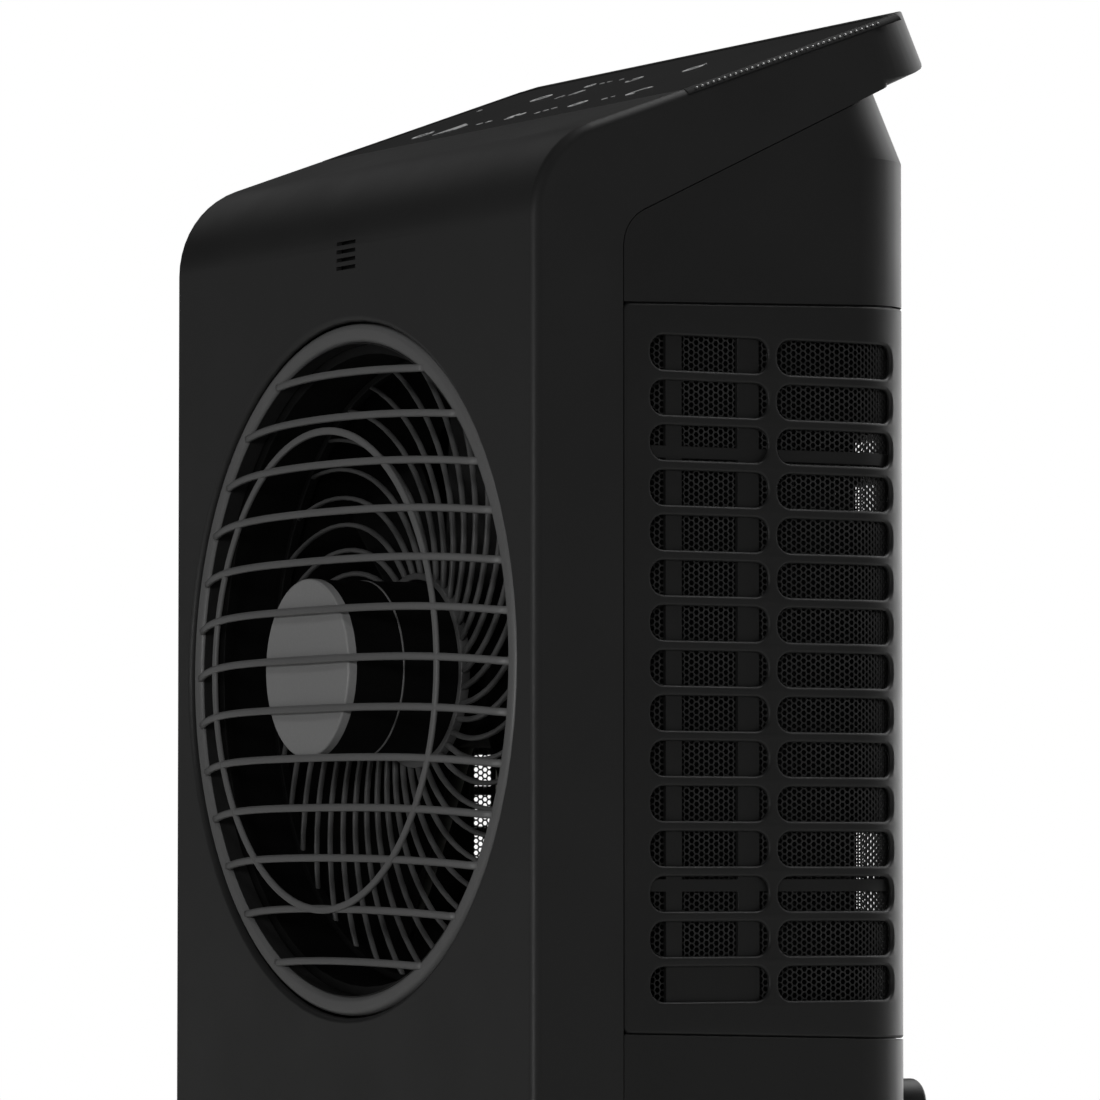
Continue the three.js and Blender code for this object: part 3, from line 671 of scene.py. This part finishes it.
def outlet_shade_lining():
    """A thin dark sleeve inside the grille's grey rim: painted shade on the inside of the opening."""
    near, far = GRILLE_INNER - 0.4, GRILLE_INNER + 0.1
    wall = rounded([(near, 2.6), (far, 2.6), (far, GRILLE_DEPTH), (near, GRILLE_DEPTH)], 0.2, 2)
    sleeve = moved(turned(wall, 128, OUTLET_HEIGHT), at)
    piece("outlet_shade_lining", sleeve, abs_shell, "housing")


grille()
outlet_shade_lining()


def round_piece(node, material, profile, steps=96, height=OUTLET_HEIGHT, x=0.0):
    """A turned piece in a frame node's place."""
    mesh = turned(profile, steps, height, x)
    stands_for(f"{node}_made", moved(mesh, at), material, node)


def hub():
    """The painted disc in the middle of the grille and the motor's two cup-shaped covers behind it."""
    back = HUB_FACE + HUB_THICKNESS
    disc = [(0, HUB_FACE), (HUB_RADIUS, HUB_FACE), (HUB_RADIUS, back), (0, back)]
    round_piece("hub_disc", hub_grey, rounded(disc, [0, 1.1, 0.3, 0], 5))
    outer = HUB_RADIUS - 0.4
    inner = outer - 3
    start = back + 0.4
    lip = MOTOR_SEAM - 0.3
    front = [(0, start), (outer, start), (outer, lip), (inner, lip), (inner, start + 3), (0, start + 3)]
    round_piece("motor_cover_front", inner_black_shaded, rounded(front, [0, 0.5, 0.8, 0.3, 0.3, 0], 3))
    end = MOTOR_REAR
    lip = MOTOR_SEAM + 0.3
    rear = [(10, end - 3), (inner, end - 3), (inner, lip), (outer, lip), (outer, end), (10, end)]
    round_piece("motor_cover_rear", inner_black_shaded, rounded(rear, [0.3, 0.3, 0.3, 0.8, 0.5, 0.3], 3))


def motor_seam():
    """The bright bead between the two motor covers."""
    turns = np.linspace(0, 2 * math.pi, 11)[:-1]
    radius = HUB_RADIUS - 0.7
    bead = [(radius + 0.6 * math.cos(turn), MOTOR_SEAM + 0.55 * math.sin(turn)) for turn in turns]
    mesh = moved(turned(bead, 96, OUTLET_HEIGHT), at)
    piece("motor_seam_bead", mesh, nylon_grille, "housing")


hub()
motor_seam()


# ---- what the air passes behind the grille ----
def lifted(mesh):
    """Carries a mesh that is made about the fan's axis up to it."""
    return moved(mesh, lambda p: at(p + [0, 0, OUTLET_HEIGHT]))


def guide_vanes():
    """Swept ribs between an inner and an outer ring, in front of the fan; the outer ring is coloured near
    black as painted shade.
    """
    front, back, steps = 39.0, 44.0, 16
    root, length = 46.0, 107.0
    first_turn, sweep = 7.0, 53.5
    section = rounded(box_round((0, front + 1.6), 3.2, 2.8), 1.2, 3)
    stations = []
    for step in range(steps + 1):
        share = step / steps
        radius = root + length * share
        turn = math.radians(first_turn + sweep * share)
        ring = []
        for side, depth in section:
            angle = turn + side / radius
            ring.append((radius * math.cos(angle), depth, radius * math.sin(angle)))
        stations.append(ring)
    ribs = repeated(swept(stations), RIBS, nylon_vanes_shaded, Turn=(0, 2 * math.pi / RIBS, 0))
    middle = (front + back) / 2
    inner = turned(rounded(box_round((46.75, middle), 3.5, back - front), 0.6, 3), 96)
    outer = turned(rounded(box_round((153.25, middle), 3.5, back - front), 0.6, 3), 112)
    stands_for("guide_vanes_made", lifted(joined([ribs, inner])), nylon_vanes_shaded, "guide_vanes")
    # The outer ring belongs to the ribs' moulding; its near-black colour is painted shade from the duct
    # wall.
    stands_for("guide_vane_rim_shaded", lifted(outer), inner_black_shaded, "guide_vanes")


def blade_section(share):
    """A blade's bowed section, a share of the way from the hub to its tip."""
    radius = 34 + 114 * share  # from inside the cup to just short of the shroud
    pitch = math.radians(44 - 18 * share)  # flatter towards the tip
    chord = 34 + 16 * share
    lean = 14 * share**1.6  # how far the section has swept round by here
    middle, half_thickness, deepest_bow, points = 76, 1.3, 4.0, 20
    section = []
    for k in range(points):
        angle = 2 * math.pi * k / points
        along = math.cos(angle) * chord / 2
        bow = deepest_bow * (1 - (2 * along / chord) ** 2)
        thick = math.sin(angle) * half_thickness * (1 - 0.4 * math.cos(angle)) + bow
        x = along * math.cos(pitch) - thick * math.sin(pitch) + lean
        depth = middle + along * math.sin(pitch) + thick * math.cos(pitch)
        section.append((x, depth, math.sqrt(max(radius**2 - x**2, 1.0))))
    return section


def impeller():
    """Twisted, swept blades on a cup-shaped hub."""
    blade = swept([blade_section(step / 14) for step in range(15)])
    blades = repeated(blade, BLADES, inner_black_shaded, Turn=(0, 2 * math.pi / BLADES, 0))
    cup = [(4.3, 58), (38, 58), (38, 98), (35, 98), (35, 63), (4.3, 63)]
    mesh = joined([blades, turned(rounded(cup, [0.3, 5, 0.5, 0.5, 1, 0.3], 4), 72)])
    stands_for("impeller_made", lifted(mesh), inner_black_shaded, "impeller")


guide_vanes()
impeller()
from_frame("fan_shroud", inner_black_shaded, 0.3)
from_frame("sensor_vent", inner_black_shaded, 0.3)
from_frame("motor_can", steel_drawn, 0.5)
from_frame("motor_shaft", steel_drawn, 0.4)
from_frame("shaft_bearing", steel_drawn, 0.3)
from_frame("impeller_nut", brass_turned, 0.5)

# ---- control panel ----
from_frame("panel_trim", panel_acrylic, 0.25)
from_frame("control_glass", panel_acrylic, 0.3)
from_frame("touch_board", board_green, 0.3)
from_frame("display_module", light_guide, 0.5)

GLASS_TOP = -0.3  # below the roof's plane
INK = 0.12


def inked(outline):
    """A flat printed shape on the panel, drawn as (X, distance up the slope)."""
    count = len(outline)
    points = [(x, y, GLASS_TOP + level) for level in (0.02, 0.02 + INK) for x, y in outline]
    faces = [tuple(range(count)), tuple(range(count, 2 * count))]
    faces += [(i, (i + 1) % count, count + (i + 1) % count, count + i) for i in range(count)]
    mesh = mesh_of("ink", points, faces)
    tidy(mesh)
    return mesh


def ink_arc(x, y, radius, width, start=0.0, end=360.0, steps=28):
    """A ring, or a part of one."""
    angles = [math.radians(start + (end - start) * i / steps) for i in range(steps + 1)]
    parts = []
    for a, b in zip(angles, angles[1:]):
        quad = []
        for r, angle in ((radius, a), (radius + width, a), (radius + width, b), (radius, b)):
            quad.append((x + r * math.cos(angle), y + r * math.sin(angle)))
        parts.append(inked(quad))
    return parts


def ink_bar(x, y, width, height):
    """A bar with rounded ends."""
    corner = min(width, height) / 2 * 0.8
    return inked(rounded(box_round((x, y), width, height), corner, 3))


def ink_dot(x, y, radius):
    """A round spot."""
    turns = np.linspace(0, 2 * math.pi, 17)[:-1]
    return inked([(x + radius * math.cos(turn), y + radius * math.sin(turn)) for turn in turns])


def printed_signs():
    """Plain signs for power, air speed, timer, night and filter, each in its own place and size."""
    parts = []
    parts += ink_arc(-122, up_slope(109), 4.4, 1.6, 120, 420)
    parts.append(ink_bar(-122, up_slope(109) + 4.8, 1.6, 5.4))
    for k in range(4):
        parts.append(ink_bar(-95 + 4 * k, up_slope(110), 2.2, 21 - 4 * k))
    parts += [ink_bar(-60, up_slope(108.5), 4.6, 2.8), ink_bar(-53, up_slope(110), 4.6, 2.8)]
    for k in range(3):
        parts += ink_arc(-28, up_slope(111.5), 1.4, 4.6, 120 * k, 120 * k + 75, 8)
    for k in range(3):
        parts.append(ink_bar(4 + 4 * k, up_slope(106.5 + 2.6 * k), 2.4, 3.4))
    parts += ink_arc(39, up_slope(110), 3.9, 1.5)
    parts += [ink_bar(39, up_slope(110) + 1.4, 1.2, 3.4), ink_bar(40.4, up_slope(110), 3.0, 1.2)]
    parts += [ink_dot(69, up_slope(108), 1.7), ink_dot(74, up_slope(110), 1.2)]
    parts += ink_arc(98, up_slope(111), 4.6, 2.6, 60, 300)
    parts.append(ink_dot(-157, up_slope(162), 1.6))
    parts += ink_arc(-90.5, up_slope(162), 4.2, 2.0)
    parts.append(ink_bar(-51, up_slope(150.5), 1.4, 6.5))
    parts += [ink_bar(-41, up_slope(154.5), 1.8, 9.5), ink_bar(-37, up_slope(154.5), 1.8, 7.0)]
    parts += ink_arc(-56, up_slope(171.5), 1.8, 1.6)
    parts += [ink_bar(-42, up_slope(170.5), 3.4, 2.0), ink_bar(-36, up_slope(171.5), 3.4, 2.0)]
    parts.append(ink_dot(-22, up_slope(170.5), 1.5))
    parts += ink_arc(9, up_slope(160), 3.4, 1.6, 200, 520)
    parts += ink_arc(74, up_slope(156), 3.4, 2.2)
    parts.append(ink_bar(74, up_slope(156) + 6.4, 1.8, 4.0))
    mesh = joined(parts)
    moved(mesh, lambda p: at(on_roof(p)))
    piece("printed_signs", mesh, ink_pale, "housing")


printed_signs()


EDGE_CENTRE = HALF_WIDTH - ROOF_EDGE
DOTS_LEAN = math.radians(46)


def edge_dots():
    """A row of small raised dots on the edge along each side of the panel."""
    dot = turned([(0, -0.1), (0.75, -0.1), (0.75, 0.25), (0.45, 0.5), (0, 0.5)], 10)
    moved(dot, lambda p: np.stack([p[:, 0], p[:, 2], p[:, 1]], 1))
    tidy(dot)
    count, pitch, first = 34, 3.3, 89.5
    reach = ROOF_EDGE + 0.2
    rows = []
    for side in (-1, 1):
        row = repeated(dot, count, rim_bright, Step=(0, pitch, 0))
        leaning = np.array(Matrix.Rotation(side * DOTS_LEAN, 3, "Y"))
        x = side * (EDGE_CENTRE + reach * math.sin(DOTS_LEAN))
        start = [x, up_slope(first), reach * math.cos(DOTS_LEAN) - ROOF_EDGE]
        moved(row, lambda p, leaning=leaning, start=start: at(on_roof(p @ leaning.T + start)))
        rows.append(row)
    piece("panel_edge_dots", joined(rows), rim_bright, "housing")


def edge_shade_strips():
    """A dull strip bent over each side edge of the roof, under the dots: a dark trim, with painted shade
    that keeps the rounded edges unlit.
    """
    turns = [math.radians(degrees) for degrees in range(16, 73, 8)]
    section = [(ROOF_EDGE + 0.04, turn) for turn in turns]
    section += [(ROOF_EDGE + 0.2, turn) for turn in reversed(turns)]
    parts = []
    for side in (-1, 1):
        stations = []
        for depth in (84.0, 204.0):
            ring = []
            for reach, turn in section:
                x = side * (EDGE_CENTRE + reach * math.sin(turn))
                ring.append((x, up_slope(depth), reach * math.cos(turn) - ROOF_EDGE))
            stations.append(ring)
        parts.append(swept(stations))
    mesh = joined(parts)
    moved(mesh, lambda p: at(on_roof(p)))
    piece("panel_edge_shade_strips", mesh, inner_black_shaded, "housing")


edge_dots()
edge_shade_strips()


# ---- filter ----
def pleats():
    """Folded paper: ridges that run up and down, 5 mm apart."""
    low, high, half = 141.0, 457.0, 131.0
    front, back = 163.0, 196.0
    fold, paper = 5.0, 1.5
    count = int(2 * half / fold)
    section = [(0, front), (fold / 2, back - paper), (fold, front)]
    section += [(fold, front + paper), (fold / 2, back), (0, front + paper)]
    stations = [[(x, depth, z) for x, depth in section] for z in (low, high)]
    mesh = repeated(swept(stations), count, filter_paper, Step=(fold, 0, 0))
    moved(mesh, lambda p: at(p - [half, 0, 0]))
    stands_for("filter_media_made", mesh, filter_paper, "filter_media")


pleats()
from_frame("filter_frame", filter_card, 0.8)
from_frame("carbon_layer", carbon_foam, 0.8)
from_frame("filter_tab", rubber_black, 1.2)
from_frame("filter_guide_left", inner_black_shaded, 0.4)
from_frame("filter_guide_right", inner_black_shaded, 0.4)
from_frame("filter_shelf", inner_black_shaded, 0.4)

# ---- electrics ----
from_frame("dust_sensor", inner_black_shaded, 0.8)
from_frame("power_board", board_green, 0.2)
from_frame("power_transformer", steel_drawn, 1.0)
from_frame("board_tray", inner_black_shaded, 0.8)
from_frame("mains_inlet", inner_black_shaded, 0.4)


# ---- what it stands on and what the cord winds round ----
def cord_hooks():
    """Two short posts that stand out from the back, low down."""
    root, tip, radius = 212.4, 243.6, 12
    height, out = 87.0, 140.0
    post = rounded([(0, root), (radius, root), (radius, tip), (0, tip)], [0, 0.3, 3.0, 0], 6)
    for side, name in ((-1, "cord_hook_left"), (1, "cord_hook_right")):
        round_piece(name, abs_housing, post, 64, height, side * out)


cord_hooks()
for corner in ("front_left", "front_right", "rear_left", "rear_right"):
    from_frame(f"foot_{corner}", rubber_black, 0.8)


# ---- floor, light and camera ----
def floor():
    """A pale, matt floor, 3.2 m square."""
    corners = [(x, y, 0) for x, y in box_round((0, 0), 3.2, 3.2)]
    mesh = mesh_of("floor", corners, [(0, 1, 2, 3)])
    made = bpy.data.objects.new("floor", mesh)
    bpy.context.scene.collection.objects.link(made)
    mesh.materials.append(finish_of("pale_floor", "bcbcba", "c2c2c0", 0.6, grain=4, relief=0.01))


floor()


def softbox(name, place, target, width, height, watts, shiny=True, soft=True):
    """A panel of light in metres, which may be kept out of the reflections or out of the soft light."""
    data = bpy.data.lights.new(name, "AREA")
    data.shape = "RECTANGLE"
    data.size = width
    data.size_y = height
    data.energy = watts
    made = bpy.data.objects.new(name, data)
    bpy.context.scene.collection.objects.link(made)
    made.location = place
    made.rotation_euler = (Vector(target) - Vector(place)).to_track_quat("-Z", "Y").to_euler()
    made.visible_camera = False
    made.visible_glossy = shiny
    made.visible_diffuse = soft


softbox("key", (2.5, -2.1, 0.62), (0, 0, 0.35), 0.3, 0.3, 36, shiny=False)
softbox("front_top", (0.9, -2.0, 2.3), (0, 0, 0.4), 0.5, 0.5, 12, shiny=False)
softbox("edge", (0.95, -3.2, 0.1), (0, 0, 0.2), 0.6, 0.3, 12.0, soft=False)
softbox("left_high", (-2.8, 0.0, 2.1), (0, 0, 0.5), 1.5, 1.0, 1.1)
softbox("behind_high", (-0.5, 2.3, 1.5), (0, 0.1, 0.55), 2.6, 1.4, 20.0)
softbox("front", (-1.2, -3.2, 0.3), (0, 0, 0.25), 0.6, 1.0, 1.5)
softbox("overhead", (-0.1, 1.3, 2.6), (0, 0, 0.35), 2.0, 1.2, 42)
softbox("behind", (-1.25, 2.9, 0.35), (0, 0, 0.35), 2.6, 0.9, 24)


def surroundings():
    """White to look at; as a source of light, a room that is brighter below eye level than above it."""
    world = bpy.data.worlds.new("studio")
    world.use_nodes = True
    tree = world.node_tree
    tree.nodes.clear()
    towards = add(tree, "ShaderNodeTexCoord").outputs["Generated"]
    rise = add(tree, "ShaderNodeSeparateXYZ", {0: towards}).outputs["Z"]
    fade = {"From Min": 0.06, "From Max": 0.17, "To Min": 0.22, "To Max": 0.03}
    level = add(tree, "ShaderNodeMapRange", {"Value": rise, **fade}).outputs[0]
    room = add(tree, "ShaderNodeBackground", {"Color": (1, 1, 1, 1), "Strength": level})
    paper = add(tree, "ShaderNodeBackground", {"Color": (1, 1, 1, 1), "Strength": 1.0})
    seen = add(tree, "ShaderNodeLightPath").outputs["Is Camera Ray"]
    mixed = add(tree, "ShaderNodeMixShader", {0: seen, 1: room.outputs[0], 2: paper.outputs[0]})
    add(tree, "ShaderNodeOutputWorld", {"Surface": mixed.outputs[0]})
    bpy.context.scene.world = world
    bpy.context.scene.view_settings.view_transform = "Standard"


surroundings()


def camera():
    """Low and well back on the right, looking slightly up with a long lens."""
    azimuth, pitch = math.radians(60.54), math.radians(2.771)
    data = bpy.data.cameras.new("camera")
    data.sensor_width = 36.0
    data.lens = 218.17
    data.clip_end = 50
    made = bpy.data.objects.new("camera", data)
    bpy.context.scene.collection.objects.link(made)
    made.location = at([(2915.02, -1530.37, 200.0)])[0]
    level = math.cos(pitch)
    ahead = Vector((-math.sin(azimuth) * level, math.cos(azimuth) * level, math.sin(pitch)))
    made.rotation_euler = ahead.to_track_quat("-Z", "Y").to_euler()
    bpy.context.scene.camera = made


camera()
